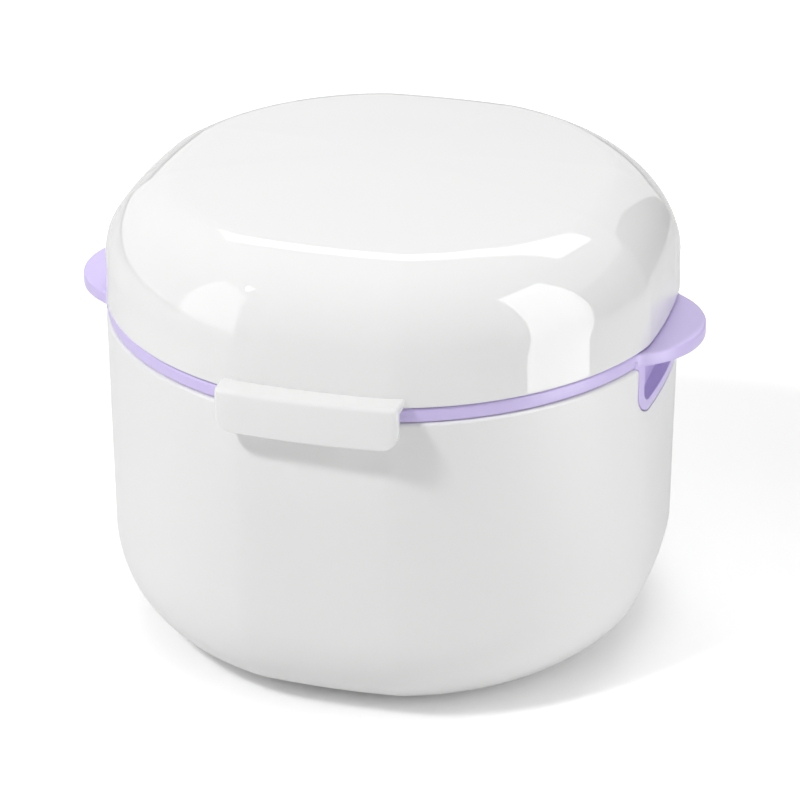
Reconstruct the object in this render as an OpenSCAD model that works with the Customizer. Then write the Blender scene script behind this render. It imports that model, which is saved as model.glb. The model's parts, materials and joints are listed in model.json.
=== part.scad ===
// Denture case: a white cup, a strainer basket that lifts out by two ears,
// and a domed lid that turns on a pin at the back and snaps shut at the front.
// Millimetres, +Z up. The origin is under the middle of the cup, on the table.
// The front, with the lift tab, faces -Y. The basket's ears point along X.

/* [Cup] */
// Height of the cup's rim above the table
cup_h = 55; // [48:1:70]
// Thickness of the cup's wall and floor
cup_wall = 1.8; // [1.4:0.1:2.6]
// Lean of the cup's wall, in degrees
cup_draft = 0.4; // [0:0.1:2]
// Radius where the cup's wall turns under to its base
base_r = 17; // [10:1:18]
// Width of the ring that the cup stands on
foot_w = 3; // [2:0.5:5]
// Depth of the recess inside that ring
foot_recess = 0.6; // [0.3:0.1:1.2]

/* [Outline seen from above] */
// Radius of the four nearly flat sides
flat_r = 115; // [80:5:160]
// Half the angle that a flat side turns through
flat_turn = 5.5; // [3:0.5:7]
// Radius of the eight soft corners
corner_r = 22; // [21:1:30]
// Angle from a side's middle at which its soft corner ends
corner_turn = 20; // [16:1:24]

/* [Lid] */
// Thickness of the lid
lid_wall = 1.8; // [1.4:0.1:2.4]
// Height of the lid's upright skirt
skirt_h = 6.5; // [4:0.5:9]
// Lean of the skirt, in degrees
lid_draft = 1.5; // [0:0.1:3]
// Half width of the ellipse that rounds the shoulder between the skirt and the top
shoulder_w = 17.5; // [10:0.5:18]
// Half height of that ellipse
shoulder_h = 14.6; // [9:0.2:18]
// Angle through which the shoulder follows it, up to the edge of the top
shoulder_turn = 69; // [60:1:80]
// Rise of the top's middle above that edge
dome_h = 2.5; // [1:0.1:4]

/* [Front tab] */
// Width of the tab across the front
tab_w = 29; // [20:1:36]
// How far the tab stands out from the lid
tab_reach = 4; // [3.4:0.1:6]
// Thickness of the tab's plates
tab_t = 1.6; // [1.2:0.1:1.8]
// How far the tab's top lies above the lid's lower edge
tab_up = 1.7; // [1.2:0.1:3]
// How far the tab hangs below the cup's rim
tab_down = 2.7; // [2.4:0.1:5]
// Radius of the tab's lower corners
tab_corner_r = 2.4; // [1:0.1:3]
// Radius of the edge between the tab's top and its front
tab_brow_r = 0.75; // [0.5:0.05:1]
// Radius of the tab's other long edges
tab_edge_r = 0.3; // [0.2:0.05:0.5]
// Length of the bead that snaps under the cup's catch
bead_len = 20; // [10:1:24]
// Height of the bead and of the catch
bead_h = 0.9; // [0.6:0.1:1]
// How far the catch stands out from the cup
catch_out = 0.8; // [0.5:0.1:1]

/* [Basket] */
// Thickness of the basket's rim, the coloured band between cup and lid
rim_t = 2.2; // [1.8:0.1:3.5]
// Radius of the basket's opening, which a full denture goes through
bowl_r = 39.6; // [36:0.1:48]
// Thickness of the bowl
bowl_wall = 1.6; // [1.2:0.1:2.2]
// Room for water between the bowl and the cup's wall
water_gap = 3; // [2:0.1:6]
// Depth of the bowl below the rim's top, inside
bowl_depth = 40; // [25:1:44]
// Lean of the bowl's wall, in degrees
bowl_draft = 4; // [1:0.5:6]
// Radius where the bowl's wall meets its floor
bowl_corner_r = 9; // [4:0.5:12]
// Diameter of the drain holes
hole_d = 3.6; // [2:0.1:4.2]
// Diameter of the wider hole in the middle of the floor
middle_hole_d = 7; // [6:0.5:9]
// Distance between the rings of floor holes
hole_pitch = 7.6; // [6.5:0.1:9]
// Number of rings of floor holes round the middle hole
hole_rings = 3; // [1:1:3]
// Number of holes in each row round the wall
wall_holes = 24; // [12:2:30]
// Number of rows of holes in the wall
wall_rows = 2; // [1:1:2]
// Height of the locating lip on the rim, inside the lid
lip_h = 1.4; // [0.8:0.1:2]
// Thickness of that lip
lip_t = 1; // [0.8:0.1:1.4]

/* [Ears] */
// How far an ear stands out from the rim
ear_reach = 6.2; // [4:0.1:10]
// Half the length of rim that an ear grows from
ear_half = 12; // [9:0.5:14]
// Radius of the hollow curve where an ear runs into the rim
ear_root_r = 3; // [1:0.5:6]
// How far the ears sit in front of the middle
ear_forward = 2.2; // [0:0.1:3]
// Half the width of the finger pocket's frame under an ear
pocket_half = 12.7; // [9:0.1:14]
// Depth of the frame below the cup's rim
pocket_h = 8.6; // [6:0.1:12]
// Thickness of the frame round the pocket
pocket_frame = 1.7; // [1.3:0.1:2.4]
// Radius of the frame's lower corners
pocket_corner_r = 3.6; // [2.5:0.1:5]
// Radius where the frame runs out into the rim
pocket_root_r = 1.2; // [0.6:0.1:2]
// How deep the pocket goes in under the rim
pocket_in = 3.6; // [2.5:0.1:4.4]
// How deep the pocket goes in at its foot
pocket_foot_in = 2; // [1.2:0.1:3]

/* [Hinge] */
// Distance of the pin from the middle of the cup's back
pin_out = 2.9; // [2.8:0.1:5]
// Diameter of the hinge pin
pin_d = 2; // [1.6:0.1:2.4]
// Radius of the knuckles round the pin
knuckle_r = 2.4; // [2.2:0.05:2.4]
// Width of the lid's middle knuckle
lid_knuckle_w = 14; // [10:1:18]
// Width of each of the cup's two knuckles
cup_knuckle_w = 6; // [4:0.5:8]
// Angle to which the lid opens
open_angle = 110; // [95:1:120]

/* [Clearances] */
// Gap between the cup's rim and the basket's rim
seat_gap = 0.15; // [0.1:0.05:0.3]
// Gap between the basket's rim and the lid
lid_gap = 0.25; // [0.2:0.05:0.4]
// Gap round a finger pocket in the cup's notch
notch_gap = 0.3; // [0.2:0.05:0.5]
// Gap between the locating lip and the lid
lip_gap = 0.45; // [0.3:0.05:0.6]
// Gap between the tab's bead and the cup's catch
snap_gap = 0.3; // [0.3:0.05:0.4]
// Gap between neighbouring knuckles
knuckle_gap = 0.3; // [0.3:0.05:0.5]
// Radial gap of the pin in the lid's knuckle
pin_run = 0.06; // [0.03:0.01:0.1]
// Radial gap of the pin in the cup's knuckles
pin_hold = 0.02; // [0.01:0.01:0.03]

/* [Hidden] */
$fn = 48;
white = [0.95, 0.95, 0.95];
lavender = [0.83, 0.77, 0.96];
steel = [0.72, 0.73, 0.75];

half_w = bowl_r + bowl_wall + water_gap + cup_wall;    // of the case, across its flat sides
rim_z0 = cup_h + seat_gap;
rim_z1 = rim_z0 + rim_t;
lid_z0 = rim_z1 + lid_gap;
edge_cut = 0.3;       // small chamfer on the edges that meet at the rim
fuse = 0.6;           // how far an added feature runs into the wall that carries it
plan_step = 5.625;    // degrees between the corners of the outline
arc_steps = 7;        // steps in each rounded part of a wall

// ---- the outline seen from above ----
// Going round from the front, the outward normal turns through t degrees. Each
// stretch of the outline is an arc of its own radius, so all of them are tangent,
// and a wall drawn in by some inset only has smaller radii on the same centres.
stretch_ends = [0, flat_turn, corner_turn, 90 - corner_turn, 90 - flat_turn, 90];
span_flats = sin(flat_turn) + 1 - sin(90 - flat_turn);
span_corners = sin(corner_turn) - sin(flat_turn) + sin(90 - flat_turn) - sin(90 - corner_turn);
diagonal_r = (half_w - flat_r * span_flats - corner_r * span_corners)
    / (sin(90 - corner_turn) - sin(corner_turn));
stretch_radii = [flat_r, corner_r, diagonal_r, corner_r, flat_r];

function sum(list, i = 0) = i < len(list) ? list[i] + sum(list, i + 1) : 0;

// X and Y of the outline in its first quarter, where the normal has turned by t
function quarter_x(t) = sum([for (k = [0:4])
    stretch_radii[k] * (sin(min(t, stretch_ends[k + 1])) - sin(min(t, stretch_ends[k])))]);
function quarter_y(t) = sum([for (k = [0:4])
    stretch_radii[k] * (cos(min(t, stretch_ends[k])) - cos(min(t, stretch_ends[k + 1])))]) - half_w;

// A point of the outline at any angle, drawn in along its normal
function plan_point(t, inset = 0) =
    let (turn = (t + 720) % 360,
         side = turn <= 180 ? 1 : -1,
         from_front = turn <= 180 ? turn : 360 - turn,
         end = from_front <= 90 ? 1 : -1,
         q = from_front <= 90 ? from_front : 180 - from_front)
    [side * (quarter_x(q) - inset * sin(q)), end * (quarter_y(q) + inset * cos(q))];

// The turn at which the front of the outline, moved out by some distance, reaches x
function turn_at(x, out, low = -45, high = 45, tries = 18) =
    let (middle = (low + high) / 2)
    tries == 0 ? middle
    : plan_point(middle, -out)[0] < x ? turn_at(x, out, middle, high, tries - 1)
    : turn_at(x, out, low, middle, tries - 1);

plan_angles = [for (t = [0:plan_step:360 - plan_step / 2]) t];
function plan_ring(inset) = [for (t = plan_angles) plan_point(t, inset)];
function lift(ring, z) = [for (p = ring) [p[0], p[1], z]];
function shrink(ring, share) = [for (p = ring) p * share];

// A solid through a list of rings of an even number of points. At both ends a strip of
// faces across the ring closes it, from its first point opposite its last one to its middle.
module loft(rings) {
    n = len(rings[0]);
    last = (len(rings) - 1) * n;
    polyhedron(
        points = [for (r = rings) each r],
        faces = concat(
            [for (i = [0:n / 2 - 2]) [i, i + 1, n - 2 - i, n - 1 - i]],
            [for (k = [0:len(rings) - 2], i = [0:n - 1], half = [0, 1])
                let (a = k * n + i, b = k * n + (i + 1) % n)
                half == 0 ? [a, a + n, b] : [b, a + n, b + n]],
            [for (i = [0:n / 2 - 2]) [last + n - 1 - i, last + n - 2 - i, last + i + 1, last + i]]),
        convexity = 6);
}

// An upright slab between two insets of the outline, along part of the front or back
module front_band(outer, inner, z0, z1, turn) {
    angles = [for (t = [-turn:turn / 8:turn + 0.01]) t];
    translate([0, 0, z0])
        linear_extrude(height = z1 - z0)
            polygon(concat(
                [for (t = angles) plan_point(t, outer)],
                [for (k = [len(angles) - 1:-1:0]) plan_point(angles[k], inner)]));
}

// ---- finger pocket, drawn in the plane of the cup's side ----
// A box with round lower corners, its top at the cup's rim. grow widens it all round.
module pocket_outline(grow) {
    half = pocket_half + grow;
    low = -pocket_h - grow;
    r = pocket_corner_r + grow;
    translate([-half, low + r])
        square([2 * half, fuse - low - r]);
    translate([r - half, low])
        square([2 * (half - r), fuse - low]);
    for (end = [-1, 1])
        translate([end * (half - r), low + r])
            circle(r = r);
}

// The hollow curves by which that outline runs out into the rim
module pocket_roots(grow) {
    for (end = [-1, 1])
        difference() {
            translate([end * (pocket_half + grow) - pocket_root_r, -pocket_root_r])
                square([2 * pocket_root_r, pocket_root_r + fuse]);
            translate([end * (pocket_half + grow + pocket_root_r), -pocket_root_r])
                circle(r = pocket_root_r);
        }
}

// Such an outline as a bar along X, from x0 outwards, on the right side
module side_bar(x0) {
    translate([x0, -ear_forward, cup_h])
        rotate([90, 0, 90])
            linear_extrude(height = half_w + fuse - x0)
                children();
}

// What is drawn on the right side, and its mirror image on the left
module both_sides() {
    children();
    mirror([1, 0, 0])
        children();
}

// ---- the cup ----
function cup_lean(z) = (cup_h - z) * tan(cup_draft);
base_in = base_r + cup_lean(0);
foot_share = 1 - foot_w / (half_w - base_in);
recess_share = foot_share - foot_recess / (half_w - base_in);
cup_outside = concat(
    [for (k = [0:arc_steps]) let (a = 90 * k / arc_steps, z = base_r * (1 - cos(a)))
        [base_r * (1 - sin(a)) + cup_lean(z), z]],
    [[cup_lean(cup_h - edge_cut), cup_h - edge_cut], [edge_cut, cup_h]]);
cup_floor = cup_wall + foot_recess;
inner_r = base_r - cup_wall;
cup_inside = concat(
    [[cup_wall - edge_cut, cup_h], [cup_wall, cup_h - edge_cut]],
    [for (k = [arc_steps:-1:0]) let (a = 90 * k / arc_steps, z = cup_floor + inner_r * (1 - cos(a)))
        [cup_wall + inner_r * (1 - sin(a)) + cup_lean(z), z]]);

module case_cup() {
    color(white)
    difference() {
        union() {
            loft(concat(
                [lift(shrink(plan_ring(base_in), recess_share), foot_recess),
                 lift(shrink(plan_ring(base_in), foot_share), 0)],
                [for (s = concat(cup_outside, cup_inside)) lift(plan_ring(s[0]), s[1])]));
            cup_catch();
            both_sides()
                translate([cup_knuckle_x, 0, 0])
                    cup_knuckle();
        }
        both_sides()
            side_bar(half_w - 3 * cup_wall) {
                pocket_outline(notch_gap);
                pocket_roots(notch_gap);
            }
        pin_bore(pin_hold, 2 * hinge_half);
    }
}

// The ridge at the front that the lid's bead snaps under
catch_z1 = cup_h - 2 * edge_cut;
catch_z0 = catch_z1 - bead_h;
module cup_catch() {
    intersection() {
        front_band(-catch_out, fuse, catch_z0, catch_z1, corner_turn);
        bead_stretch();
    }
}

// The stretch of the front that holds the catch and the bead
module bead_stretch() {
    translate([-bead_len / 2, -2 * half_w, 0])
        cube([bead_len, 2 * half_w, lid_z0]);
}

// ---- the hinge ----
pin_y = half_w + pin_out;
pin_z = (cup_h + lid_z0) / 2;
hinge_half = lid_knuckle_w / 2 + knuckle_gap + cup_knuckle_w;
cup_knuckle_x = lid_knuckle_w / 2 + knuckle_gap + cup_knuckle_w / 2;
root_y = half_w - 0.8 * cup_wall;

module pin_bore(gap, length) {
    translate([-length / 2 - fuse, pin_y, pin_z])
        rotate([0, 90, 0])
            cylinder(r = pin_d / 2 + gap, h = length + 2 * fuse);
}

// A side view in Y and Z, drawn as a bar of width w centred on X = 0
module hinge_bar(w) {
    translate([-w / 2, 0, 0])
        rotate([90, 0, 90])
            linear_extrude(height = w)
                children();
}

// The round of a knuckle, in that side view
module knuckle_round() {
    translate([pin_y, pin_z])
        circle(r = knuckle_r);
}

module cup_knuckle() {
    hinge_bar(cup_knuckle_w) {
        knuckle_round();
        polygon([
            [root_y, cup_h - 2 * edge_cut],
            [pin_y - knuckle_r, cup_h - 2 * edge_cut],
            [pin_y - knuckle_r, pin_z],
            [pin_y, pin_z],
            [pin_y + knuckle_r * cos(35), pin_z - knuckle_r * sin(35)],
            [half_w, pin_z - 3.6 * knuckle_r],
            [root_y, pin_z - 3.6 * knuckle_r]]);
    }
}

module lid_knuckle() {
    hinge_bar(lid_knuckle_w) {
        knuckle_round();
        polygon([
            [root_y, lid_z0 + edge_cut / 2],
            [pin_y - knuckle_r, lid_z0 + edge_cut / 2],
            [pin_y - knuckle_r, pin_z],
            [pin_y, pin_z],
            [pin_y + knuckle_r * cos(45), pin_z + knuckle_r * sin(45)],
            [half_w, pin_z + 3.2 * knuckle_r],
            [root_y, pin_z + 3.2 * knuckle_r]]);
    }
    stop_heel();
}

// The tooth under the lid's knuckle that meets the cup's back when the lid is open
module stop_heel() {
    heel_reach = pin_out - knuckle_gap;
    heel_w = 0.6 * lid_knuckle_w;
    translate([0, pin_y, pin_z])
        rotate([open_angle, 0, 0])
            translate([-heel_w / 2, -heel_reach, -0.6])
                cube([heel_w, heel_reach, 1.2]);
}

module hinge_pin() {
    color(steel)
        translate([-hinge_half + edge_cut, pin_y, pin_z])
            rotate([0, 90, 0])
                cylinder(d = pin_d, h = 2 * (hinge_half - edge_cut));
}

// ---- the lid ----
function lid_lean(h) = h * tan(lid_draft);
shoulder_steps = 10;
dome_shares = [0.75, 0.5, 0.25];

// Inset and height on the shoulder, on its outside or a wall's thickness in
function shoulder_point(a, wall) = [
    lid_lean(skirt_h) + wall + (shoulder_w - wall) * (1 - cos(a)),
    lid_z0 + skirt_h + (shoulder_h - wall) * sin(a)];
function shoulder_rings(wall) = [for (k = [0:shoulder_steps])
    let (s = shoulder_point(shoulder_turn * k / shoulder_steps, wall)) lift(plan_ring(s[0]), s[1])];

// The top is a low parabola over the ring at the shoulder's end
function dome_rings(wall) =
    let (s = shoulder_point(shoulder_turn, wall))
    [for (g = dome_shares) lift(shrink(plan_ring(s[0]), g), s[1] + dome_h * (1 - g * g))];

module lid() {
    color(white)
    difference() {
        union() {
            difference() {
                loft(concat(
                    [lift(plan_ring(edge_cut), lid_z0),
                     lift(plan_ring(lid_lean(edge_cut)), lid_z0 + edge_cut)],
                    shoulder_rings(0), dome_rings(0)));
                loft(concat(
                    [lift(plan_ring(lid_wall - edge_cut), lid_z0 - fuse),
                     lift(plan_ring(lid_wall - edge_cut), lid_z0),
                     lift(plan_ring(lid_wall), lid_z0 + edge_cut)],
                    shoulder_rings(lid_wall), dome_rings(lid_wall)));
            }
            front_tab();
            snap_bead();
            lid_knuckle();
        }
        pin_bore(pin_run, lid_knuckle_w);
    }
}

// The lift tab is a hook: a plate over the rim, and a plate that hangs from it past the rim.
// Its side view is drawn at stations along X. It rises in the round lower corners, and at
// either end it shrinks a little, which breaks the edges of the end face.
tab_z0 = cup_h - tab_down;
tab_z1 = lid_z0 + tab_up;
tab_straight = tab_w / 2 - tab_corner_r;
tab_steps = 8;
corner_steps = 5;
tab_half = concat(
    [for (k = [0:tab_steps - 1]) [tab_straight * k / tab_steps, 0]],
    [for (k = [0:corner_steps])
        [tab_straight + (tab_corner_r - tab_edge_r) * sin(90 * k / (corner_steps + 1)), 0]],
    [[tab_w / 2, 0.6 * tab_edge_r]]);

function quarter_arc(centre, r, a0, a1) =
    [for (k = [0:3]) let (a = a0 + (a1 - a0) * k / 3) centre + r * [cos(a), sin(a)]];

// The side view at x, as distances out from the lid and heights, drawn in by shrink
function tab_section(x, shrink) =
    let (past = max(0, x - tab_straight),
         low = tab_z0 + tab_corner_r - sqrt(max(0, pow(tab_corner_r, 2) - pow(past, 2))),
         inner = tab_reach - tab_t,
         under = lid_z0 + edge_cut / 2,
         r = tab_edge_r)
    concat(
        [[-fuse, tab_z1 - shrink]],
        quarter_arc([tab_reach - tab_brow_r, tab_z1 - tab_brow_r], tab_brow_r - shrink, 90, 0),
        quarter_arc([tab_reach - r, low + r], r - shrink, 0, -90),
        quarter_arc([inner + r, low + r], r - shrink, -90, -180),
        quarter_arc([inner + shrink - r, under - r], r, 0, 90),
        [[-fuse, under]]);
function tab_ring(x, shrink) = [for (s = tab_section(abs(x), shrink))
    [x, plan_point(turn_at(x, s[0]), -s[0])[1], s[1]]];

module front_tab() {
    last = len(tab_half) - 1;
    loft(concat(
        [for (k = [last:-1:1]) tab_ring(-tab_half[k][0], tab_half[k][1])],
        [for (k = [0:last]) tab_ring(tab_half[k][0], tab_half[k][1])]));
}

// The bead behind the tab's lower edge, which snaps under the cup's catch
module snap_bead() {
    intersection() {
        front_band(tab_t - tab_reach - edge_cut, -catch_out - snap_gap,
            tab_z0 + edge_cut, catch_z0 - snap_gap / 2, corner_turn);
        bead_stretch();
    }
}

// ---- the strainer basket ----
bowl_floor = rim_z1 - bowl_depth;

// The ear's outline is one arc, and a hollow arc at each root blends it into the soft
// corner of the rim next to it
ear_r = (pow(ear_half, 2) + pow(ear_reach, 2)) / (2 * ear_reach);
ear_centre = [half_w + ear_reach - ear_r, -ear_forward];

// Centre of a circle of radius r that touches two others from outside, on the given side
function touching(c1, r1, c2, r2, r, side) =
    let (d = norm(c2 - c1), u = (c2 - c1) / d,
         along = (pow(r1 + r, 2) - pow(r2 + r, 2) + d * d) / (2 * d),
         off = side * sqrt(pow(r1 + r, 2) - along * along))
    c1 + along * u + off * [-u[1], u[0]];

module ear_root(end) {
    corner_centre = plan_point(90 - end * (flat_turn + corner_turn) / 2, corner_r);
    root_centre = touching(ear_centre, ear_r, corner_centre, corner_r, ear_root_r, end);
    difference() {
        polygon([ear_centre, root_centre, corner_centre]);
        translate(root_centre)
            circle(r = ear_root_r);
    }
}

module rim_outline() {
    polygon(plan_ring(0));
    both_sides() {
        translate(ear_centre)
            circle(r = ear_r);
        for (end = [-1, 1])
            ear_root(end);
    }
}

// Inside and outside of the bowl, as heights and radii to turn round Z
function bowl_reach(z) = bowl_r - (rim_z1 - z) * tan(bowl_draft);
function bowl_side(out) = let (r = bowl_corner_r + out, z0 = bowl_floor - out)
    [for (k = [0:arc_steps]) let (a = (90 - bowl_draft) * k / arc_steps)
        [bowl_reach(z0 + r) - bowl_corner_r / cos(bowl_draft) + r * sin(a), z0 + r * (1 - cos(a))]];

module bowl() {
    difference() {
        rotate_extrude($fn = 96)
            polygon(concat([[0, bowl_floor - bowl_wall]], bowl_side(bowl_wall),
                [[bowl_r + bowl_wall, rim_z0 + rim_t / 2], [0, rim_z0 + rim_t / 2]]));
        bowl_space();
    }
}

module bowl_space() {
    rotate_extrude($fn = 96)
        polygon(concat([[0, bowl_floor]], bowl_side(0),
            [[bowl_r, rim_z1 - edge_cut], [bowl_r + edge_cut, rim_z1 + fuse], [0, rim_z1 + fuse]]));
}

module floor_holes() {
    translate([0, 0, bowl_floor - bowl_wall - fuse]) {
        cylinder(d = middle_hole_d, h = bowl_wall + 2 * fuse);
        for (ring = [1:hole_rings], k = [1:6 * ring])
            rotate([0, 0, 60 * k / ring])
                translate([ring * hole_pitch, 0, 0])
                    cylinder(d = hole_d, h = bowl_wall + 2 * fuse);
    }
}

module wall_hole_rows() {
    for (row = [0:wall_rows - 1], k = [0:wall_holes - 1])
        translate([0, 0, bowl_floor + bowl_corner_r + (row + 0.2) * hole_pitch])
            rotate([0, 90, 360 * (k + row / 2) / wall_holes])
                translate([0, 0, bowl_r - bowl_corner_r])
                    cylinder(d = hole_d, h = 2 * bowl_corner_r);
}

module strainer_basket() {
    color(lavender)
    difference() {
        union() {
            translate([0, 0, rim_z0])
                linear_extrude(height = rim_t)
                    rim_outline();
            bowl();
            locating_lip();
            both_sides()
                pocket_block();
        }
        bowl_space();
        both_sides()
            finger_space();
        floor_holes();
        wall_hole_rows();
    }
}

// The block that fills the cup's notch and joins it to the bowl
module pocket_block() {
    intersection() {
        side_bar(half_w / 2) {
            pocket_outline(0);
            pocket_roots(0);
        }
        linear_extrude(height = rim_z0 + rim_t / 2)
            polygon(plan_ring(cup_lean(cup_h - pocket_h)));
    }
}

// The hollow for a fingertip: its back leans inwards from the foot up to the rim
module finger_space() {
    foot_z = cup_h - pocket_h;
    intersection() {
        side_bar(half_w / 2)
            pocket_outline(-pocket_frame);
        translate([0, half_w, 0])
            rotate([90, 0, 0])
                linear_extrude(height = 2 * half_w)
                    polygon([
                        [half_w - pocket_foot_in, foot_z],
                        [half_w + 2 * fuse, foot_z],
                        [half_w + 2 * fuse, rim_z0],
                        [half_w - pocket_in, rim_z0]]);
    }
}

// The low ring on the rim that finds its place inside the lid
module locating_lip() {
    translate([0, 0, rim_z1 - edge_cut])
        linear_extrude(height = lip_h + edge_cut)
            difference() {
                polygon(plan_ring(lid_wall + lip_gap));
                polygon(plan_ring(lid_wall + lip_gap + lip_t));
            }
}

case_cup();
strainer_basket();
lid();
hinge_pin();
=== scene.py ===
# %% [markdown]
# # A denture case in white and lavender plastic
# The case is a white cup, a lavender strainer basket that hangs in it, and a glossy white lid
# on a hinge. The solids with the true sizes come in as a fixed frame. This lesson dresses
# them: each shell is modelled again, smooth enough to carry clean reflections, and gets
# a finish of its own. Everything is in metres, in the frame of those solids: +Z is up,
# the lift tab faces -Y and the origin is under the middle of the cup.

# %% Load the frame
import json
import math

import bmesh
import bpy
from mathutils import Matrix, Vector


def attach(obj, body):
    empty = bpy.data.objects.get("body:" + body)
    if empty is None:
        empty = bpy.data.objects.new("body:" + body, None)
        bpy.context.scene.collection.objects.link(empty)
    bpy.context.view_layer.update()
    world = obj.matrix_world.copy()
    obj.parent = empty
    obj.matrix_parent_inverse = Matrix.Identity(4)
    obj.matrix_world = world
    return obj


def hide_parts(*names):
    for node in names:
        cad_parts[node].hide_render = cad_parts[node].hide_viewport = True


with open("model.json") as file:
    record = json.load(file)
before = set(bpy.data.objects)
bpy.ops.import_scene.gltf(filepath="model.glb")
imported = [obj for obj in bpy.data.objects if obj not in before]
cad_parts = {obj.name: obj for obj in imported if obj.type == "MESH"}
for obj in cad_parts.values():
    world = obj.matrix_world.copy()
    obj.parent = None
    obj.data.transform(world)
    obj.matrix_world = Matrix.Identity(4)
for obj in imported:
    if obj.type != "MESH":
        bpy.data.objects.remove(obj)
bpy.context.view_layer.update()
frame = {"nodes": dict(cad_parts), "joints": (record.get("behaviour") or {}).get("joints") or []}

# %% [markdown]
# ## The camera
# A long lens looks at the case from a little to its right and from well above the rim.
# A long lens keeps the upright walls nearly parallel, as in a product picture. The camera is
# placed by two angles and a distance, and it aims at a point near the middle of the case.
# The Standard view shows a colour about as it is written, which suits a white product.

# %% Camera
MM = 0.001
SENSOR_WIDTH = 36
LENS_LENGTH = 148.5
CAMERA_AZIMUTH = math.radians(15.8)
CAMERA_ELEVATION = math.radians(25.57)
CAMERA_DISTANCE = 548.1 * MM
AIM_HEIGHT = 40 * MM
AIM_RIGHT = 1.08 * MM
AIM_DOWN = 2.99 * MM

camera_back = Vector((math.sin(CAMERA_AZIMUTH) * math.cos(CAMERA_ELEVATION),
                      -math.cos(CAMERA_AZIMUTH) * math.cos(CAMERA_ELEVATION),
                      math.sin(CAMERA_ELEVATION)))
camera_right = Vector((math.cos(CAMERA_AZIMUTH), math.sin(CAMERA_AZIMUTH), 0))
camera_up = camera_back.cross(camera_right)
aim = Vector((0, 0, AIM_HEIGHT)) + AIM_RIGHT * camera_right - AIM_DOWN * camera_up

camera_data = bpy.data.cameras.new("camera")
camera_data.sensor_width = SENSOR_WIDTH
camera_data.lens = LENS_LENGTH
camera_data.clip_start = 0.05
camera_data.clip_end = 20
camera = bpy.data.objects.new("camera", camera_data)
bpy.context.scene.collection.objects.link(camera)
camera.location = aim + CAMERA_DISTANCE * camera_back
camera.rotation_mode = "QUATERNION"
camera.rotation_quaternion = (-camera_back).to_track_quat("-Z", "Y")
bpy.context.scene.camera = camera
bpy.context.scene.view_settings.view_transform = "Standard"
print("camera at", [round(v, 3) for v in camera.location])

# %% [markdown]
# ## The outline that all the pieces share
# Seen from above the case isn't a circle. It has four nearly flat sides, joined by rounder
# diagonals, with a soft corner of small radius where one meets the other. Those corners are
# the faint upright edges on the cup. The outline is a chain of tangent arcs, so one number
# says where a point lies: how far the outward normal has turned from the front. Drawing
# the outline in by some inset keeps those normals. Deeper inside, the soft corners start
# from a larger radius, because a small one would shrink to nothing and fold over.

# %% Outline
HALF_WIDTH = 46 * MM
STRETCH_ENDS = [0, 5.5, 17, 73, 84.5, 90]
FLAT_R = 115 * MM
CORNER_R = 12 * MM
DEEP_CORNER_R = 20 * MM
DEEP = 10 * MM


def sine_span(k):
    """How much the sine of the normal's turn grows along one stretch of the outline."""
    low, high = (math.radians(STRETCH_ENDS[i]) for i in (k, k + 1))
    return math.sin(high) - math.sin(low)


def stretch_radii(inset):
    """The radii of the five stretches; the corners' own radius grows with the inset."""
    depth = min(1, max(0, inset / DEEP))
    corner = CORNER_R + depth * (DEEP_CORNER_R - CORNER_R)
    diagonal = (HALF_WIDTH - FLAT_R * (sine_span(0) + sine_span(4))
                - corner * (sine_span(1) + sine_span(3))) / sine_span(2)
    return [FLAT_R, corner, diagonal, corner, FLAT_R]


def outline_point(turn, inset=0.0):
    """X and Y of the outline where its normal has turned this many degrees from the front."""
    turn %= 360
    side = 1 if turn <= 180 else -1
    from_front = min(turn, 360 - turn)
    end = 1 if from_front <= 90 else -1
    quarter = min(from_front, 180 - from_front)
    x, y = 0.0, -HALF_WIDTH
    for k, radius in enumerate(stretch_radii(inset)):
        low, high = (math.radians(min(quarter, STRETCH_ENDS[i])) for i in (k, k + 1))
        x += radius * (math.sin(high) - math.sin(low))
        y += radius * (math.cos(low) - math.cos(high))
    q = math.radians(quarter)
    return side * (x - inset * math.sin(q)), end * (y + inset * math.cos(q))


RING_STEPS = 192
ring_turns = [360 * k / RING_STEPS for k in range(RING_STEPS)]


def outline_ring(inset, z, share=1.0):
    """The outline as a ring of points at height z, drawn in and then scaled."""
    ring = []
    for turn in ring_turns:
        x, y = outline_point(turn, inset)
        ring.append((share * x, share * y, z))
    return ring


print("radii of the outline", [round(r / MM, 1) for r in stretch_radii(0)], "mm")

# %% [markdown]
# ## Rings: how a shell is drawn
# A moulded shell is a wall that follows a profile all the way round. It could be a revolved
# shape, but this outline isn't round. So a ring of edges is extruded again and again, and
# each new ring is put where the profile says. That is what one does by hand with extrude
# and scale, and it leaves a clean net of four-sided faces that shades without a ripple.
# A number on every point remembers its place in the ring, because an extrusion copies it.

# %% Ring tools
SMOOTH_ANGLE = 40
MERGE_DISTANCE = 1e-6


def deselect_all():
    """Nothing stays selected, so that an operator touches the new piece only."""
    bpy.ops.object.select_all(action="DESELECT")


def select_only(piece):
    """One piece is selected and active, and nothing else."""
    deselect_all()
    bpy.context.view_layer.objects.active = piece
    piece.select_set(True)


def smooth(piece, angle=SMOOTH_ANGLE):
    """Shades smooth, except over edges that are sharper than an angle in degrees."""
    select_only(piece)
    bpy.ops.object.shade_smooth_by_angle(angle=math.radians(angle))


def start_ring(name, ring):
    """A circle whose points are put on the first ring; edit mode stays on."""
    deselect_all()
    bpy.ops.mesh.primitive_circle_add(vertices=len(ring), radius=HALF_WIDTH)
    piece = bpy.context.object
    piece.name = name
    place = piece.data.attributes.new("place", "INT", "POINT")
    place.data.foreach_set("value", list(range(len(ring))))
    for vertex, point in zip(piece.data.vertices, ring):
        vertex.co = point
    bpy.ops.object.mode_set(mode="EDIT")
    bpy.ops.mesh.select_mode(type="EDGE")
    bpy.ops.mesh.select_all(action="SELECT")
    return piece


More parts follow.
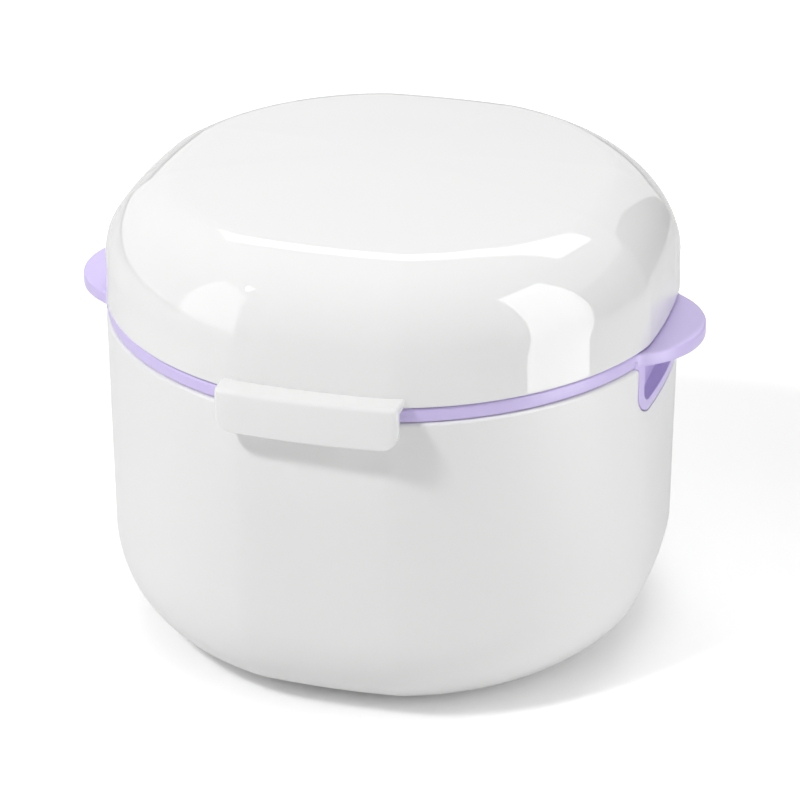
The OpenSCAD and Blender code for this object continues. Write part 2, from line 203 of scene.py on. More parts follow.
def next_ring(piece, ring):
    """Extrudes the selected ring of edges and moves the copy to the next ring."""
    bpy.ops.mesh.extrude_edges_move()
    mesh = bmesh.from_edit_mesh(piece.data)
    place = mesh.verts.layers.int["place"]
    for vertex in mesh.verts:
        if vertex.select:
            vertex.co = ring[vertex[place]]
    bmesh.update_edit_mesh(piece.data)


def finish_mesh(piece, smooth_angle=SMOOTH_ANGLE):
    """Merges doubles, turns the normals outwards and shades smooth between soft faces."""
    bpy.ops.mesh.select_all(action="SELECT")
    bpy.ops.mesh.remove_doubles(threshold=MERGE_DISTANCE)
    bpy.ops.mesh.normals_make_consistent(inside=False)
    bpy.ops.object.mode_set(mode="OBJECT")
    if "place" in piece.data.attributes:
        piece.data.attributes.remove(piece.data.attributes["place"])
    smooth(piece, smooth_angle)


def skin(name, rings):
    """A closed shell through rings, from a pole in the first to a pole in the last."""
    piece = start_ring(name, rings[0])
    for ring in rings[1:]:
        next_ring(piece, ring)
    finish_mesh(piece)
    return piece


def pole(z, count=RING_STEPS):
    """A ring shrunk to one point on the axis, which merging the doubles then closes."""
    return [(0, 0, z)] * count


def report(piece):
    """Prints how many faces a piece has and the box that it fills."""
    low, high = (Vector(f(v.co[i] for v in piece.data.vertices) for i in range(3))
                 for f in (min, max))
    print(piece.name, len(piece.data.polygons), "faces, mm",
          [round(v / MM, 1) for v in low], [round(v / MM, 1) for v in high])


# %% [markdown]
# ## The lid's shell
# The lid is a thin dome. From the middle of its top it falls slowly to a faint crease, goes
# over a broad rounded shoulder, which is a part of an ellipse, and ends in a short upright
# skirt that stands over the lavender rim. The profile below is a list of insets and
# heights. It runs over the outside, round the lower edge, and back up the inside a wall's
# thickness away, so the lid is a real shell when it stands open.

# %% Lid profile
LID_FOOT_Z = 57.6 * MM
LID_WALL = 1.8 * MM
SKIRT_H = 6.5 * MM
SKIRT_LEAN = math.tan(math.radians(1.5))
SHOULDER_W = 17.5 * MM
SHOULDER_H = 14.6 * MM
SHOULDER_TURN = 69
DOME_H = 2.5 * MM
CREASE_H = 0.07 * MM
CREASE_TURN = 1.5
EDGE_R = 0.3 * MM


def arc_steps(first, last, count):
    """Angles in radians from the first to the last, both in degrees."""
    return [math.radians(first + (last - first) * k / count) for k in range(count + 1)]


def round_edge(radius, first, last, count):
    """Steps round an edge: how far each is from the one face and from the other."""
    return [(radius * (1 - math.cos(a)), radius * (1 - math.sin(a)))
            for a in arc_steps(first, last, count)]


def shoulder(turn, wall):
    """Inset and height on the shoulder, on the lid's outside or a wall's thickness in."""
    return (SKIRT_H * SKIRT_LEAN + wall + (SHOULDER_W - wall) * (1 - math.cos(turn)),
            LID_FOOT_Z + SKIRT_H + (SHOULDER_H - wall) * math.sin(turn))


def dome_rings(wall, shares):
    """The top, as shares of the ring at its edge, on a low parabola."""
    edge_in, edge_z = shoulder(math.radians(SHOULDER_TURN), wall)
    return [outline_ring(edge_in, edge_z + DOME_H * (1 - s * s), s) for s in shares]


DOME_SHARES = [0.02, 0.1, 0.2, 0.3, 0.4, 0.5, 0.6, 0.7, 0.8, 0.88, 0.94, 0.97, 0.984]
crease_in, crease_z = shoulder(math.radians(SHOULDER_TURN), 0)
lid_top_z = crease_z + DOME_H
lid_rings = [pole(lid_top_z)] + dome_rings(0, DOME_SHARES)
lid_rings.append(outline_ring(crease_in, crease_z - CREASE_H))
lid_rings += [outline_ring(*shoulder(a, 0))
              for a in arc_steps(SHOULDER_TURN - CREASE_TURN, 0, 30)]
for height in (5 * MM, 3.5 * MM, 2 * MM, 1 * MM, 0.5 * MM):
    lid_rings.append(outline_ring(height * SKIRT_LEAN, LID_FOOT_Z + height))
lid_rings += [outline_ring(x + EDGE_R * SKIRT_LEAN, LID_FOOT_Z + z)
              for x, z in round_edge(EDGE_R, 0, 90, 4)]
lid_rings += [outline_ring(LID_WALL - x, LID_FOOT_Z + z)
              for x, z in round_edge(EDGE_R, 90, 0, 4)]
for height in (0.6 * MM, 3 * MM):
    lid_rings.append(outline_ring(height * SKIRT_LEAN + LID_WALL, LID_FOOT_Z + height))
lid_rings += [outline_ring(*shoulder(a, LID_WALL)) for a in arc_steps(0, SHOULDER_TURN, 16)]
lid_rings += dome_rings(LID_WALL, [0.9, 0.6, 0.3]) + [pole(lid_top_z - LID_WALL)]
lid_shell = skin("lid_shell", lid_rings)
report(lid_shell)

# %% [markdown]
# ## The lift tab
# A finger lifts the lid by the tab at its front. The tab is a plate over the rim with a second
# plate hanging from it, so from the side it is a hook. It follows the lid's outline, a few
# millimetres out. So one section of the hook is drawn and extruded sideways along
# the outline. Near each end its lower edge curves up, which rounds the lower corners, and the
# last few sections shrink a little, which breaks the sharp edge of the end face.

# %% Tab sections
TAB_W = 29 * MM
TAB_REACH = 4 * MM
TAB_T = 1.6 * MM
TAB_LOW_Z = 52.3 * MM
TAB_TOP_Z = 59.3 * MM
TAB_CORNER_R = 2.4 * MM
TAB_ROOT = 0.9 * MM
TAB_EDGE_R = 0.75 * MM
TAB_LOW_EDGE_R = 0.3 * MM
TAB_END_R = 0.4 * MM
TAB_PLATE_UP = 0.15 * MM
TAB_EDGE_SHARE = 0.5
TAB_STEPS = 40


def corner_arc(centre, radius, first, last, count=5):
    """Points of a round corner in the plane of a section."""
    return [(centre[0] + radius * math.cos(a), centre[1] + radius * math.sin(a))
            for a in arc_steps(first, last, count)]


def turn_at(x, out):
    """The turn of the normal where the front of the outline, moved out, passes through X."""
    low, high = -45.0, 45.0
    for _ in range(26):
        middle = (low + high) / 2
        if outline_point(middle, -out)[0] < x:
            low = middle
        else:
            high = middle
    return low


def front_ring(x, section):
    """A section, as distances out from the lid and heights, set on the front at X."""
    return [(x, outline_point(turn_at(x, out), -out)[1], z) for out, z in section]


def tab_section(x, shrink):
    """The hook at X, smaller by shrink all round."""
    past = max(0, abs(x) - (TAB_W / 2 - TAB_CORNER_R))
    rise = TAB_CORNER_R - math.sqrt(max(0, TAB_CORNER_R ** 2 - past ** 2))
    out, inner = TAB_REACH - shrink, TAB_REACH - TAB_T + shrink
    low = TAB_LOW_Z + rise + shrink
    top, under = TAB_TOP_Z - shrink, LID_FOOT_Z + TAB_PLATE_UP + shrink
    small, big = (r - TAB_EDGE_SHARE * shrink for r in (TAB_LOW_EDGE_R, TAB_EDGE_R))
    return ([(-TAB_ROOT, under), (-TAB_ROOT, top)]
            + corner_arc((out - big, top - big), big, 90, 0, 7)
            + corner_arc((out - small, low + small), small, 0, -90)
            + corner_arc((inner + small, low + small), small, -90, -180)
            + corner_arc((inner - small, under - small), small, 0, 90))


tab_stations = []
straight = TAB_W / 2 - TAB_CORNER_R
for side in (-1, 1):
    ends = [(side * (TAB_W / 2 - TAB_END_R * (1 - math.sin(a))), TAB_END_R * (1 - math.cos(a)))
            for a in arc_steps(0, 90, 4)]
    bends = [(side * (straight + (TAB_CORNER_R - TAB_END_R) * k / 8), 0) for k in range(1, 8)]
    tab_stations += bends + ends
tab_stations += [(straight * (2 * k / TAB_STEPS - 1), 0) for k in range(TAB_STEPS + 1)]
tab_stations.sort()
print(len(tab_stations), "sections of the tab")

# %% [markdown]
# ## From sections to a solid
# The sections follow each other like the rings of a shell, but here the first and the last
# are filled, which closes the solid with a flat cap at each end.

# %% Tab
STRIP_SMOOTH_ANGLE = 50


def strip(name, rings):
    """A solid through rings with a flat cap at both ends."""
    piece = start_ring(name, rings[0])
    bpy.ops.mesh.edge_face_add()
    bpy.ops.mesh.select_mode(type="EDGE")
    for ring in rings[1:]:
        next_ring(piece, ring)
    bpy.ops.mesh.edge_face_add()
    finish_mesh(piece, STRIP_SMOOTH_ANGLE)
    return piece


lid_tab = strip("lid_tab", [front_ring(x, tab_section(x, shrink)) for x, shrink in tab_stations])
report(lid_tab)

# %% [markdown]
# ## The hinge
# At the back a steel pin runs through three knuckles: one in the middle that belongs to
# the lid and two that belong to the cup. Each knuckle is an eye round the pin that runs out into
# the wall it is moulded on. Its side view is drawn once, filled and extruded along the
# pin, and a bevel breaks the edges of the end faces. A cylinder cuts the bore.

# %% Knuckles
hinge = frame["joints"][0]
PIN_Y, PIN_Z = hinge["pos_m"][1], hinge["pos_m"][2]
KNUCKLE_R = 2.4 * MM
LID_KNUCKLE_W = 14 * MM
CUP_KNUCKLE_W = 6 * MM
KNUCKLE_GAP = 0.3 * MM
KNUCKLE_EDGE_R = 0.3 * MM
CUP_BORE_R, LID_BORE_R = 1.02 * MM, 1.06 * MM
BORE_LENGTH = 60 * MM
ROOT_Y = HALF_WIDTH - 1.44 * MM
CUP_RIM_Z = 55 * MM


def bore_cut(piece, radius):
    """Cuts a round bore along the pin's axis through the piece."""
    deselect_all()
    bpy.ops.mesh.primitive_cylinder_add(vertices=64, radius=radius, depth=BORE_LENGTH,
                                        location=(0, PIN_Y, PIN_Z),
                                        rotation=(0, math.radians(90), 0))
    cut(piece, bpy.context.object)


def cut(piece, cutter, operation="DIFFERENCE"):
    """Applies a boolean modifier and removes the cutter."""
    select_only(piece)
    modifier = piece.modifiers.new("cut", "BOOLEAN")
    modifier.operation = operation
    modifier.object = cutter
    modifier.solver = "EXACT"
    bpy.ops.object.modifier_apply(modifier=modifier.name)
    bpy.data.objects.remove(cutter)


def soften(piece, width, segments=3, angle=50):
    """Bevels every edge that is sharper than an angle, and applies it."""
    select_only(piece)
    bevel = piece.modifiers.new("bevel", "BEVEL")
    bevel.width = width
    bevel.segments = segments
    bevel.limit_method = "ANGLE"
    bevel.angle_limit = math.radians(angle)
    bpy.ops.object.modifier_apply(modifier=bevel.name)
    smooth(piece)


def extruded(name, ring, way):
    """A ring of points, filled and extruded along a way."""
    piece = start_ring(name, ring)
    bpy.ops.mesh.edge_face_add()
    bpy.ops.mesh.select_mode(type="FACE")
    bpy.ops.mesh.select_all(action="SELECT")
    bpy.ops.mesh.extrude_region_move(TRANSFORM_OT_translate={"value": way})
    finish_mesh(piece)
    return piece


def prism(name, side_view, x_from, x_to):
    """A side view, as points in Y and Z, filled and extruded along X."""
    return extruded(name, [(x_from, y, z) for y, z in side_view], (x_to - x_from, 0, 0))


def join(pieces, name):
    """Makes one piece of several."""
    deselect_all()
    for piece in pieces:
        piece.select_set(True)
    bpy.context.view_layer.objects.active = pieces[0]
    bpy.ops.object.join()
    pieces[0].name = name
    return pieces[0]


def eye(first, last):
    """The round of a knuckle, from one angle to another."""
    return corner_arc((PIN_Y, PIN_Z), KNUCKLE_R, first, last, 24)


cup_eye_foot_z = PIN_Z - 3.6 * KNUCKLE_R
cup_eye_head_z = CUP_RIM_Z - 0.6 * MM
lid_eye_head_z = PIN_Z + 3.2 * KNUCKLE_R
cup_eye_view = ([(ROOT_Y, cup_eye_foot_z), (HALF_WIDTH, cup_eye_foot_z)] + eye(-35, 180)
                + [(PIN_Y - KNUCKLE_R, cup_eye_head_z), (ROOT_Y, cup_eye_head_z)])
lid_eye_view = ([(ROOT_Y, LID_FOOT_Z + EDGE_R), (PIN_Y - KNUCKLE_R, LID_FOOT_Z + EDGE_R)]
                + eye(-180, 45) + [(HALF_WIDTH, lid_eye_head_z), (ROOT_Y, lid_eye_head_z)])
knuckles = []
for side in (-1, 1):
    inner_x = LID_KNUCKLE_W / 2 + KNUCKLE_GAP
    ends = sorted((side * inner_x, side * (inner_x + CUP_KNUCKLE_W)))
    knuckles.append(prism("knuckle", cup_eye_view, *ends))
cup_knuckles = join(knuckles, "cup_knuckles")
lid_knuckle = prism("lid_knuckle", lid_eye_view, -LID_KNUCKLE_W / 2, LID_KNUCKLE_W / 2)
for piece, bore_r in ((cup_knuckles, CUP_BORE_R), (lid_knuckle, LID_BORE_R)):
    soften(piece, KNUCKLE_EDGE_R)
    bore_cut(piece, bore_r)
    smooth(piece)
    report(piece)

# %% [markdown]
# ## The cup
# The cup is the same kind of shell as the lid, upside down. It stands on a low ring round a
# shallow recess, turns up through a broad arc into a wall that leans by less than half a
# degree, and ends in a rim with a fine round edge that catches a bright line of light.
# The profile starts at the middle of the underside, goes up the outside and comes
# down on the inside.

# %% Cup shell
CUP_WALL = 1.8 * MM
CUP_LEAN = math.tan(math.radians(0.4))
BASE_R = 17 * MM
FOOT_W = 3 * MM
FOOT_RECESS = 0.6 * MM
RIM_EDGE_R = 0.6 * MM
INSIDE_R = BASE_R - CUP_WALL
CUP_FLOOR_Z = CUP_WALL + FOOT_RECESS


def lean(z):
    """How far the cup's wall has drawn in at a height, going down from the rim."""
    return (CUP_RIM_Z - z) * CUP_LEAN


base_in = BASE_R + lean(0)
foot_share = 1 - FOOT_W / (HALF_WIDTH - base_in)
recess_share = foot_share - FOOT_RECESS / (HALF_WIDTH - base_in)
cup_rings = [pole(FOOT_RECESS)]
cup_rings += [outline_ring(base_in, FOOT_RECESS, recess_share * s) for s in (0.3, 0.6, 0.95, 1)]
cup_rings += [outline_ring(base_in, 0, s) for s in (foot_share, foot_share + 0.02)]
for a in arc_steps(0, 90, 28):
    z = BASE_R * (1 - math.cos(a))
    cup_rings.append(outline_ring(BASE_R * (1 - math.sin(a)) + lean(z), z))
cup_rings += [outline_ring(lean(z * MM), z * MM) for z in (22, 29, 36, 43, 49, 53, 54.3)]
cup_rings += [outline_ring(x, CUP_RIM_Z - z) for x, z in round_edge(RIM_EDGE_R, 0, 90, 5)]
cup_rings += [outline_ring(CUP_WALL - x, CUP_RIM_Z - z)
              for x, z in round_edge(EDGE_R, 90, 0, 4)]
cup_rings += [outline_ring(CUP_WALL + lean(z * MM), z * MM) for z in (54.3, 50, 40, 30, 20)]
for a in arc_steps(90, 0, 14):
    z = CUP_FLOOR_Z + INSIDE_R * (1 - math.cos(a))
    cup_rings.append(outline_ring(CUP_WALL + INSIDE_R * (1 - math.sin(a)) + lean(z), z))
cup_rings += [outline_ring(base_in, CUP_FLOOR_Z, s) for s in (0.8, 0.5, 0.2)]
cup_rings.append(pole(CUP_FLOOR_Z))
cup_shell = skin("cup_shell", cup_rings)
report(cup_shell)

# %% [markdown]
# ## The notches in the cup's rim
# At the left and the right the rim has a notch with round lower corners. The finger pocket of
# the basket hangs in it, flush with the cup's wall. The notch is cut with a boolean: its
# outline is drawn in side view, filled, extruded into a block through the wall, and
# taken away. Its upper corners run out in small round curves, as the pocket's do.

# %% Notches
POCKET_HALF = 12.7 * MM
POCKET_H = 8.6 * MM
POCKET_CORNER_R = 3.6 * MM
POCKET_ROOT_R = 1.2 * MM
POCKET_FRAME = 1.7 * MM
NOTCH_GAP = 0.3 * MM
NOTCH_EDGE_R = 0.2 * MM
NOTCH_MERGE = 0.04 * MM
EAR_FORWARD = 2.2 * MM


def pocket_view(grow, top_z, roots=True):
    """The outline of the finger pocket in Y and Z, widened all round by grow."""
    half, low = POCKET_HALF + grow, CUP_RIM_Z - POCKET_H - grow
    r = POCKET_CORNER_R + grow
    root_y, root_z = half + POCKET_ROOT_R, CUP_RIM_Z - POCKET_ROOT_R
    right = ([(root_y, top_z)] + corner_arc((root_y, root_z), POCKET_ROOT_R, 90, 180, 6)
             if roots else [(half, top_z)])
    right += corner_arc((half - r, low + r), r, 0, -90, 10)
    left = [(-y, z) for y, z in reversed(right)]
    return [(y - EAR_FORWARD, z) for y, z in right + left]


for side in (-1, 1):
    ends = sorted((side * (HALF_WIDTH - 3 * CUP_WALL), side * (HALF_WIDTH + 1 * MM)))
    cut(cup_shell, prism("notch", pocket_view(NOTCH_GAP, CUP_RIM_Z + 2 * MM), *ends))
bpy.ops.object.mode_set(mode="EDIT")
bpy.ops.mesh.select_all(action="SELECT")
bpy.ops.mesh.remove_doubles(threshold=NOTCH_MERGE)
bpy.ops.object.mode_set(mode="OBJECT")
soften(cup_shell, NOTCH_EDGE_R, segments=2, angle=60)
report(cup_shell)

# %% [markdown]
# ## What snaps the lid shut
# A low ridge across the front of the cup, the catch, and a bead behind the tab's lower edge
# hold the lid. Both are sections drawn once and carried along the front.

# %% Catch and bead
BEAD_HALF = 10 * MM
CATCH_OUT = 0.8 * MM
CATCH_ROOT = -0.5 * MM
SNAP_GAP = 0.3 * MM
BEAD_ROOT = TAB_REACH - TAB_T + 0.3 * MM
NOSE_SHARE = 0.45
CATCH_LOW_Z, CATCH_TOP_Z = 53.5 * MM, 54.4 * MM
BEAD_LOW_Z, BEAD_TOP_Z = 52.6 * MM, 53.35 * MM


def ridge(name, root, out, low_z, top_z):
    """A ridge with a round nose, from a root to how far out it reaches."""
    nose_r = (top_z - low_z) * NOSE_SHARE
    way = 1 if out > root else -1
    nose = corner_arc((0, (low_z + top_z) / 2), nose_r, 90, -90, 8)
    section = [(root, top_z)] + [(out - way * (nose_r - x), z) for x, z in nose] + [(root, low_z)]
    rings = [front_ring(BEAD_HALF * k / 10, section) for k in range(-10, 11)]
    return strip(name, rings)


cup_catch = ridge("cup_catch", CATCH_ROOT, CATCH_OUT, CATCH_LOW_Z, CATCH_TOP_Z)
lid_bead = ridge("lid_bead", BEAD_ROOT, CATCH_OUT + SNAP_GAP, BEAD_LOW_Z, BEAD_TOP_Z)

# %% [markdown]
# ## The basket's rim and its ears
# The lavender band between cup and lid is the rim of the strainer basket. At the left and the
# right it grows a flat ear. The ear's outline is one arc, and a small hollow arc at each
# root blends it into the rim. So the outline of the rim is a longer chain of
# arcs than that of the cup, and it is set back a little from the cup's wall. Each of its
# points keeps a normal, which lets the whole chain be drawn in for a round edge, and
# a place on the plain outline, for what has no ear.

# %% Rim outline
EAR_REACH = 6.2 * MM
EAR_HALF = 12 * MM
EAR_ROOT_R = 3 * MM
BAND_IN = 0.25 * MM
EAR_R = (EAR_HALF ** 2 + EAR_REACH ** 2) / (2 * EAR_REACH)
ear_centre = Vector((HALF_WIDTH + EAR_REACH - EAR_R, -EAR_FORWARD))


def angle_of(vector):
    return math.atan2(vector.y, vector.x)


def normal_at(turn):
    """The outward normal of the outline in X and Y."""
    t = math.radians(turn)
    return Vector((math.sin(t), -math.cos(t)))


def band_point(turn):
    """A point of the band, which is set back from the cup's wall."""
    return Vector(outline_point(turn, BAND_IN))


def ear_root(end):
    """The hollow arc at the front root, or at the back one for end -1: its centre, the turn
    where it leaves the band and the angle where it meets the ear. It touches both, so
    its place is found by halving."""
    far, near = 90 - end * 60, 90
    for _ in range(40):
        turn = (far + near) / 2
        centre = band_point(turn) + EAR_ROOT_R * normal_at(turn)
        if (centre - ear_centre).length > EAR_R + EAR_ROOT_R:
            far = turn
        else:
            near = turn
    return centre, turn, angle_of(centre - ear_centre)


def arc_places(centre, radius, start, stop, count, hollow=False):
    """Points and outward normals along an arc, without its ends."""
    places = []
    for k in range(1, count):
        a = start + (stop - start) * k / count
        ray = Vector((math.cos(a), math.sin(a)))
        places.append((centre + radius * ray, -ray if hollow else ray))
    return places


def outline_places(first, last, count):
    """Points and outward normals along the band, from one turn to another."""
    turns = [first + (last - first) * k / count for k in range(count + 1)]
    return [(band_point(turn), normal_at(turn)) for turn in turns]


front_root, front_turn, front_angle = ear_root(1)
back_root, back_turn, back_angle = ear_root(-1)
front_start = band_point(front_turn) - front_root
back_end = band_point(back_turn) - back_root
ear_places = (
    arc_places(front_root, EAR_ROOT_R, angle_of(front_start),
               front_angle + math.pi, 8, hollow=True)
    + arc_places(ear_centre, EAR_R, front_angle, back_angle, 48)
    + arc_places(back_root, EAR_ROOT_R, back_angle + math.pi, angle_of(back_end) + 2 * math.pi, 8,
                 hollow=True))
FRONT_STEPS, BACK_STEPS = 44, 50
half_places = (outline_places(0, front_turn, FRONT_STEPS) + ear_places
               + outline_places(back_turn, 180, BACK_STEPS))
ear_turns = [front_turn + (back_turn - front_turn) * (k + 1) / (len(ear_places) + 1)
             for k in range(len(ear_places))]
half_turns = ([front_turn * k / FRONT_STEPS for k in range(FRONT_STEPS + 1)] + ear_turns
              + [back_turn + (180 - back_turn) * k / BACK_STEPS for k in range(BACK_STEPS + 1)])
mirror_x = Vector((-1, 1))
rim_places = half_places + [(p * mirror_x, n * mirror_x) for p, n in half_places[-2:0:-1]]
plain_turns = half_turns + [-t for t in half_turns[-2:0:-1]]
print(len(rim_places), "points in the rim; the ear's arc is", round(EAR_R / MM, 2), "mm")

# %% [markdown]
# ## The basket's body
# Three kinds of ring now make the basket: one with the ears, one with the plain outline for
# the locating lip on top of the rim, and a round one for the bowl. They all have the same
# number of points, so they can follow each other in one shell: up the outside of
# the bowl, out under the rim, round its edge, over the lip and down the inside.

# %% Basket shell
SEAT_Z, BAND_TOP_Z = 55.15 * MM, 57.35 * MM
BAND_LOW_R, BAND_TOP_R = 0.3 * MM, 0.4 * MM
LIP_IN, LIP_T, LIP_H, LIP_EDGE_R = 2.25 * MM, 1 * MM, 1.4 * MM, 0.25 * MM
BOWL_R = 39.6 * MM
BOWL_WALL = 1.6 * MM
BOWL_DEPTH = 40 * MM
BOWL_DRAFT = math.radians(4)
BOWL_CORNER_R = 9 * MM
BOWL_FLOOR_Z = BAND_TOP_Z - BOWL_DEPTH


def rim_ring(inset, z):
    """A ring with the ears."""
    return [(*(p - inset * n), z) for p, n in rim_places]


def plain_ring(inset, z):
    """A ring on the plain outline, with as many points."""
    return [(*outline_point(turn, inset), z) for turn in plain_turns]


def round_ring(radius, z):
    """A round ring, with as many points."""
    ring = []
    for turn in plain_turns:
        way = Vector(outline_point(turn)).normalized()
        ring.append((radius * way.x, radius * way.y, z))
    return ring


def bowl_reach(z):
    """Inside radius of the bowl's wall at a height."""
    return BOWL_R - (BAND_TOP_Z - z) * math.tan(BOWL_DRAFT)


def bowl_corner(out):
    """Rings of the round corner between floor and wall, on the inside or the outside."""
    r, z0 = BOWL_CORNER_R + out, BOWL_FLOOR_Z - out
    foot = bowl_reach(z0 + r) - BOWL_CORNER_R / math.cos(BOWL_DRAFT)
    return [round_ring(foot + r * math.sin(a), z0 + r * (1 - math.cos(a)))
            for a in arc_steps(0, 86, 12)]


under_z = BOWL_FLOOR_Z - BOWL_WALL
wall_top = bowl_reach(SEAT_Z) + BOWL_WALL
basket_rings = [pole(under_z, len(rim_places))]
basket_rings += [round_ring(10 * MM, under_z), round_ring(20 * MM, under_z)]
basket_rings += bowl_corner(BOWL_WALL)
basket_rings += [round_ring(bowl_reach(z * MM) + BOWL_WALL, z * MM) for z in (34, 42, 50)]
basket_rings += [round_ring(wall_top, SEAT_Z), rim_ring(1.9 * MM, SEAT_Z),
                 rim_ring(BAND_LOW_R + 0.15 * MM, SEAT_Z)]
basket_rings += [rim_ring(x, SEAT_Z + z) for z, x in round_edge(BAND_LOW_R, 0, 90, 4)]
basket_rings += [rim_ring(x, BAND_TOP_Z - z) for x, z in round_edge(BAND_TOP_R, 0, 90, 5)]
basket_rings += [rim_ring(BAND_TOP_R + 0.15 * MM, BAND_TOP_Z), plain_ring(LIP_IN, BAND_TOP_Z)]
lip_top_z = BAND_TOP_Z + LIP_H
basket_rings += [plain_ring(LIP_IN + x, lip_top_z - z)
                 for x, z in round_edge(LIP_EDGE_R, 0, 90, 3)]
basket_rings += [plain_ring(LIP_IN + LIP_T - x, lip_top_z - z)
                 for x, z in round_edge(LIP_EDGE_R, 90, 0, 3)]
basket_rings += [plain_ring(LIP_IN + LIP_T, BAND_TOP_Z), round_ring(BOWL_R + 0.5 * MM, BAND_TOP_Z)]
basket_rings += [round_ring(BOWL_R + x, BAND_TOP_Z - z)
                 for z, x in round_edge(EDGE_R, 0, 90, 4)]
basket_rings += [round_ring(bowl_reach(z * MM), z * MM) for z in (56, 50, 42, 34)]
basket_rings += reversed(bowl_corner(0))
basket_rings += [round_ring(20 * MM, BOWL_FLOOR_Z), round_ring(10 * MM, BOWL_FLOOR_Z),
                 pole(BOWL_FLOOR_Z, len(rim_places))]
basket_shell = skin("basket_shell", basket_rings)
report(basket_shell)

# %% [markdown]
# ## Drain holes
# The bowl is a strainer. One larger hole is in the middle of its floor, three rings of small
# holes lie round it, and two rows go round the wall. One cutter holds a peg for
# every hole, so a single boolean makes them all.

# %% Drain holes
HOLE_R = 1.8 * MM
MIDDLE_HOLE_R = 3.5 * MM
HOLE_PITCH = 7.6 * MM
WALL_HOLES = 24
WALL_ROW_UP = 0.2
PEG_LENGTH = 8 * MM


def peg(radius, location, rotation=(0, 0, 0)):
    """A cylinder that cuts one hole."""
    deselect_all()
    bpy.ops.mesh.primitive_cylinder_add(vertices=28, radius=radius, depth=PEG_LENGTH,
                                        location=location, rotation=rotation)
    return bpy.context.object


pegs = [peg(MIDDLE_HOLE_R, (0, 0, BOWL_FLOOR_Z))]
for ring in (1, 2, 3):
    for k in range(6 * ring):
        a = math.radians(60 * (k + 1) / ring)
        pegs.append(peg(HOLE_R, (ring * HOLE_PITCH * math.cos(a),
                                 ring * HOLE_PITCH * math.sin(a), BOWL_FLOOR_Z)))
for row in (0, 1):
    z = BOWL_FLOOR_Z + BOWL_CORNER_R + (row + WALL_ROW_UP) * HOLE_PITCH
    reach = bowl_reach(z) + BOWL_WALL / 2
    for k in range(WALL_HOLES):
        a = math.radians(360 * (k + row / 2) / WALL_HOLES)
        pegs.append(peg(HOLE_R, (reach * math.cos(a), reach * math.sin(a), z),
                        (0, math.radians(90), a)))
print(len(pegs), "drain holes")
cut(basket_shell, join(pegs, "pegs"))
smooth(basket_shell)
report(basket_shell)

# %% [markdown]
# ## The finger pockets
# Under each ear hangs a framed pocket for a fingertip. It is a block with the outline of the
# notch, shaped on the outside like the cup's wall. A smaller outline is then hollowed out of
# it, with a back that leans in towards the rim, and a fine bevel softens the frame.

# %% Finger pockets
POCKET_IN, POCKET_FOOT_IN = 3.6 * MM, 2 * MM
POCKET_EDGE_R = 0.25 * MM
BLOCK_FROM = 30 * MM
BACK_HALF = 30 * MM
pocket_in_rim_z = SEAT_Z + 1.1 * MM


def finger_pocket(name, side):
    """The framed pocket on the right side, or on the left for side -1."""
    ends = sorted((side * BLOCK_FROM, side * (HALF_WIDTH + 2 * MM)))
    foot_z = CUP_RIM_Z - POCKET_H
    block = prism(name, pocket_view(0, pocket_in_rim_z), *ends)
    wall_face = outline_ring(lean(foot_z), CUP_RIM_Z - 2 * POCKET_H)
    cut(block, extruded("wall_face", wall_face, (0, 0, 3 * POCKET_H)), "INTERSECT")
    inside = bowl_reach(foot_z) + 0.5 * BOWL_WALL
    deselect_all()
    bpy.ops.mesh.primitive_cylinder_add(vertices=96, radius=inside, depth=60 * MM,
                                        location=(0, 0, CUP_RIM_Z))
    cut(block, bpy.context.object)
    hollow = prism("hollow", pocket_view(-POCKET_FRAME, SEAT_Z, roots=False), *ends)
    head_z = SEAT_Z + 1 * MM
    back = prism("back", [(-BACK_HALF, foot_z), (BACK_HALF, foot_z),
                          (BACK_HALF, head_z), (-BACK_HALF, head_z)], *ends)
    for vertex in back.data.vertices:
        if abs(vertex.co.x) < HALF_WIDTH:
            depth = POCKET_FOOT_IN if vertex.co.z < CUP_RIM_Z else POCKET_IN
            vertex.co.x = side * (HALF_WIDTH - depth)
    cut(hollow, back, "INTERSECT")
    cut(block, hollow)
    soften(block, POCKET_EDGE_R, angle=45)
    return block


pocket_right = finger_pocket("pocket_right", 1)
pocket_left = finger_pocket("pocket_left", -1)
report(pocket_right)

# %% [markdown]
# ## Effects that the plastics share
# Moulded plastic is never quite even. The mould leaves a very fine grain or, where it was
# polished, a slow waviness that bends reflections a little, and hands leave faint smudges.
# These effects are built once as node groups with named inputs, so that each finish
# below only sets its own amounts.

# %% Node groups
def effect_group(name, inputs, outputs):
    """An empty node group whose inputs and outputs are single numbers."""
    group = bpy.data.node_groups.new(name, "ShaderNodeTree")
    for label, value in inputs:
        socket = group.interface.new_socket(label, in_out="INPUT", socket_type="NodeSocketFloat")
        socket.default_value = value
    for label in outputs:
        group.interface.new_socket(label, in_out="OUTPUT", socket_type="NodeSocketFloat")
    return group, group.nodes.new("NodeGroupInput"), group.nodes.new("NodeGroupOutput")


def set_inputs(node, values):
    """Sets the sockets of a node by their labels."""
    for label, value in values.items():
        node.inputs[label].default_value = value


def math_node(nodes, links, operation, a, b, clamp=False):
    """A Math node; each operand is a number or a socket."""
    node = nodes.new("ShaderNodeMath")
    node.operation = operation
    node.use_clamp = clamp
    for socket, value in zip(node.inputs, (a, b)):
        if isinstance(value, (int, float)):
            socket.default_value = value
        else:
            links.new(value, socket)
    return node.outputs[0]


def noise(nodes, links, coordinates, scale, detail):
    """A Noise texture in object space; scale is a number or a socket, per metre."""
    node = nodes.new("ShaderNodeTexNoise")
    node.inputs["Detail"].default_value = detail
    links.new(coordinates, node.inputs["Vector"])
    if isinstance(scale, (int, float)):
        node.inputs["Scale"].default_value = scale
    else:
        links.new(scale, node.inputs["Scale"])
    return node.outputs["Fac"]


